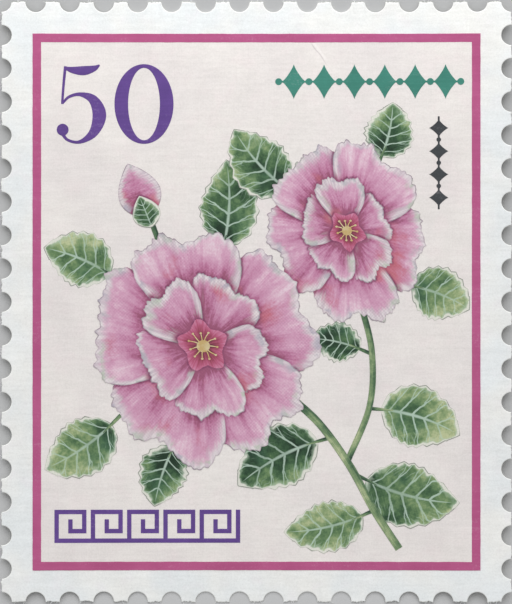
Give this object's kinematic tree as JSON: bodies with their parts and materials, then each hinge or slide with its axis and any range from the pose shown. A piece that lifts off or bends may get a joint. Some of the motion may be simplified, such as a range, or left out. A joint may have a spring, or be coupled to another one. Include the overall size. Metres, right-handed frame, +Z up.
{
  "type": "postage stamp",
  "caption": "Small gummed paper postage stamp, perforated on all sides, with a framed printed floral design, lying face up.",
  "frame": {"origin": "middle of the stamp's back, on the surface that it lies on", "axes": "+X to the right of the design, +Y to its top, +Z up out of the printed face"},
  "size_m": [0.0226, 0.0264, 0.0006],
  "materials": {
    "paper": "matte, faintly fibrous",
    "gum": "dried gum, faint sheen",
    "cream_ink": "matte ink on paper",
    "magenta_ink": "matte ink on paper",
    "violet_ink": "matte ink on paper",
    "teal_ink": "matte ink on paper",
    "grey_ink": "matte ink on paper",
    "rose_ink": "matte ink on paper, shaded",
    "pink_ink": "matte ink on paper, shaded",
    "straw_ink": "matte ink on paper",
    "crimson_ink": "matte ink on paper, shaded",
    "green_ink": "matte ink on paper, shaded"
  },
  "bodies": {
    "root": {"bead_column": "grey_ink", "bud": "rose_ink", "bud_stem": "green_ink", "calyx": "green_ink", "frame_line": "magenta_ink", "gum": "gum", "key_band": "violet_ink", "leaf_1": "green_ink", "leaf_10": "green_ink", "leaf_11": "green_ink", "leaf_12": "green_ink", "leaf_2": "green_ink", "leaf_3": "green_ink", "leaf_4": "green_ink", "leaf_5": "green_ink", "leaf_6": "green_ink", "leaf_7": "green_ink", "leaf_8": "green_ink", "leaf_9": "green_ink", "lower_eye": "crimson_ink", "lower_inner_petal_1": "pink_ink", "lower_inner_petal_2": "pink_ink", "lower_inner_petal_3": "pink_ink", "lower_inner_petal_4": "pink_ink", "lower_inner_petal_5": "pink_ink", "lower_outer_petal_1": "rose_ink", "lower_outer_petal_2": "rose_ink", "lower_outer_petal_3": "rose_ink", "lower_outer_petal_4": "rose_ink", "lower_outer_petal_5": "rose_ink", "lower_stamens": "straw_ink", "main_stem": "green_ink", "numeral_five": "violet_ink", "numeral_zero": "violet_ink", "panel_tint": "cream_ink", "paper": "paper", "star_band": "teal_ink", "upper_eye": "crimson_ink", "upper_inner_petal_1": "pink_ink", "upper_inner_petal_2": "pink_ink", "upper_inner_petal_3": "pink_ink", "upper_inner_petal_4": "pink_ink", "upper_inner_petal_5": "pink_ink", "upper_outer_petal_1": "rose_ink", "upper_outer_petal_2": "rose_ink", "upper_outer_petal_3": "rose_ink", "upper_outer_petal_4": "rose_ink", "upper_outer_petal_5": "rose_ink", "upper_stamens": "straw_ink", "upper_stem": "green_ink"}
  },
  "joints": []
}
